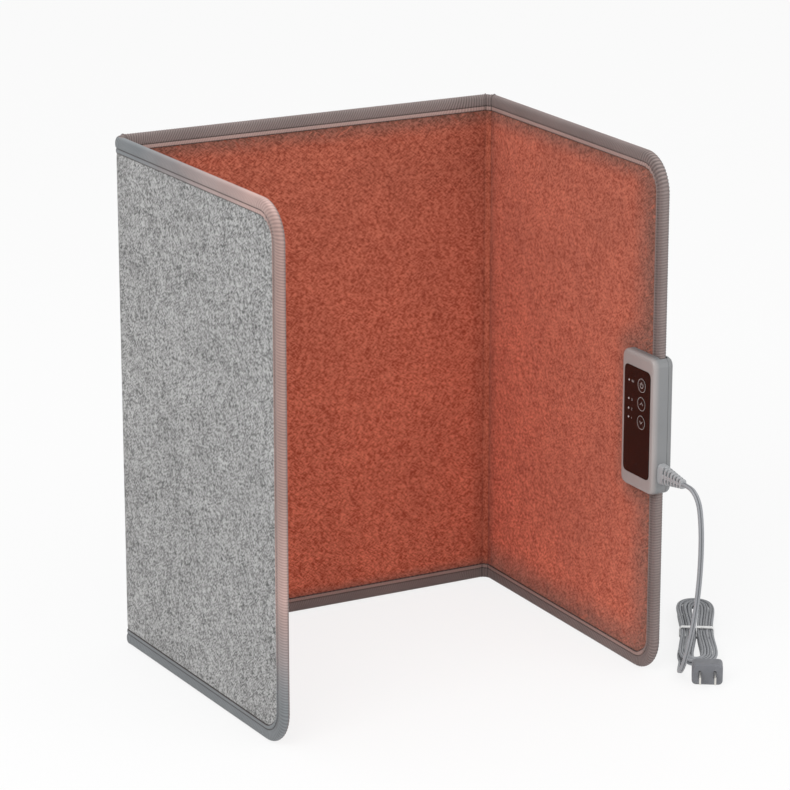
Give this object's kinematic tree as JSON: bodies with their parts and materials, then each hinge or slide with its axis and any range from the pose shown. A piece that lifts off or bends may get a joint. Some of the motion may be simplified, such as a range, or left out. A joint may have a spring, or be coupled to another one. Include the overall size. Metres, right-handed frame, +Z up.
{
  "type": "folding under desk heater panel",
  "caption": "Felt covered folding heater panel that stands as a U round the legs, with bound edges, a clamped control box with keys, and a flat cord tied in a hank with a plug.",
  "frame": {"origin": "on the floor, midway between the outermost faces of the standing panels and midway between their back and front, the cord left out", "axes": "+Z up, +X from the left panel to the panel with the control box, +Y from the open front to the centre panel at the back"},
  "size_m": [0.4908, 0.3527, 0.45],
  "materials": {
    "outer_felt": "heathered grey needle felt",
    "inner_felt": "terracotta needle felt",
    "binding_tape": "ribbed woven tape",
    "board": "plain sheet",
    "foil": "bright foil",
    "film": "satin film",
    "lead": "smooth",
    "connector": "smooth",
    "fuse": "bright",
    "shell": "satin, finely textured",
    "key_plate": "glossy",
    "key": "glossy",
    "circuit": "green lacquer",
    "switch": "smooth",
    "triac": "matt",
    "terminal": "smooth",
    "screw": "plated",
    "light_guide": "clear, polished",
    "relief": "moulded, ribbed",
    "cord": "smooth, satin",
    "tie": "smooth",
    "plug": "moulded, satin",
    "blade": "nickel plated"
  },
  "bodies": {
    "right_panel": {"right_outer_felt": "outer_felt", "right_stiffener_board": "board", "right_insulation_sheet": "foil", "right_heating_film": "film", "right_inner_felt": "inner_felt", "right_lead": "lead", "right_film_connector": "connector", "right_binding": "binding_tape", "front_shell": "shell", "rear_cover": "shell", "key_plate": "key_plate", "light_guide": "light_guide", "circuit_board": "circuit", "power_switch": "switch", "up_switch": "switch", "down_switch": "switch", "triac": "triac", "terminal_block": "terminal", "clamp_screw_1": "screw", "clamp_screw_2": "screw", "strain_relief": "relief", "supply_cord": "cord", "cord_hank": "cord", "cord_tail": "cord", "hank_tie": "tie", "plug_body": "plug", "plug_blade_1": "blade", "plug_blade_2": "blade"},
    "right_fold": {"right_fold_outer_felt": "outer_felt", "right_fold_inner_felt": "inner_felt", "right_fold_top_binding": "binding_tape", "right_fold_bottom_binding": "binding_tape", "right_fold_lead": "lead"},
    "centre_panel": {"centre_outer_felt": "outer_felt", "centre_stiffener_board": "board", "centre_insulation_sheet": "foil", "centre_heating_film": "film", "centre_inner_felt": "inner_felt", "centre_lead": "lead", "centre_film_connector": "connector", "centre_top_binding": "binding_tape", "centre_bottom_binding": "binding_tape", "thermal_fuse": "fuse"},
    "left_fold": {"left_fold_outer_felt": "outer_felt", "left_fold_inner_felt": "inner_felt", "left_fold_top_binding": "binding_tape", "left_fold_bottom_binding": "binding_tape", "left_fold_lead": "lead"},
    "left_panel": {"left_outer_felt": "outer_felt", "left_stiffener_board": "board", "left_insulation_sheet": "foil", "left_heating_film": "film", "left_inner_felt": "inner_felt", "left_lead": "lead", "left_film_connector": "connector", "left_binding": "binding_tape"},
    "power_key": {"power_key": "key"},
    "up_key": {"up_key": "key"},
    "down_key": {"down_key": "key"}
  },
  "joints": [
    {"name": "right_fold_crease", "type": "hinge", "parent": "right_panel", "child": "right_fold", "pos_m": [0.1776, 0.13915, 0], "axis": [0, 0, 1], "range_deg": [-45, 40.5]},
    {"name": "centre_right_crease", "type": "hinge", "parent": "right_fold", "child": "centre_panel", "pos_m": [0.17194, 0.1448, 0], "axis": [0, 0, 1], "range_deg": [-45, 40.5]},
    {"name": "left_fold_crease", "type": "hinge", "parent": "centre_panel", "child": "left_fold", "pos_m": [-0.17606, 0.1448, 0], "axis": [0, 0, 1], "range_deg": [-46, 44]},
    {"name": "left_panel_crease", "type": "hinge", "parent": "left_fold", "child": "left_panel", "pos_m": [-0.18161, 0.13905, 0], "axis": [0, 0, 1], "range_deg": [-46, 44]},
    {"name": "power_key_press", "type": "slide", "parent": "right_panel", "child": "power_key", "axis": [1, 0, 0], "range_m": [0, 0.0004], "stiffness_N_per_m": 2000, "springref_m": -0.0002},
    {"name": "up_key_press", "type": "slide", "parent": "right_panel", "child": "up_key", "axis": [1, 0, 0], "range_m": [0, 0.0004], "stiffness_N_per_m": 2000, "springref_m": -0.0002},
    {"name": "down_key_press", "type": "slide", "parent": "right_panel", "child": "down_key", "axis": [1, 0, 0], "range_m": [0, 0.0004], "stiffness_N_per_m": 2000, "springref_m": -0.0002}
  ]
}
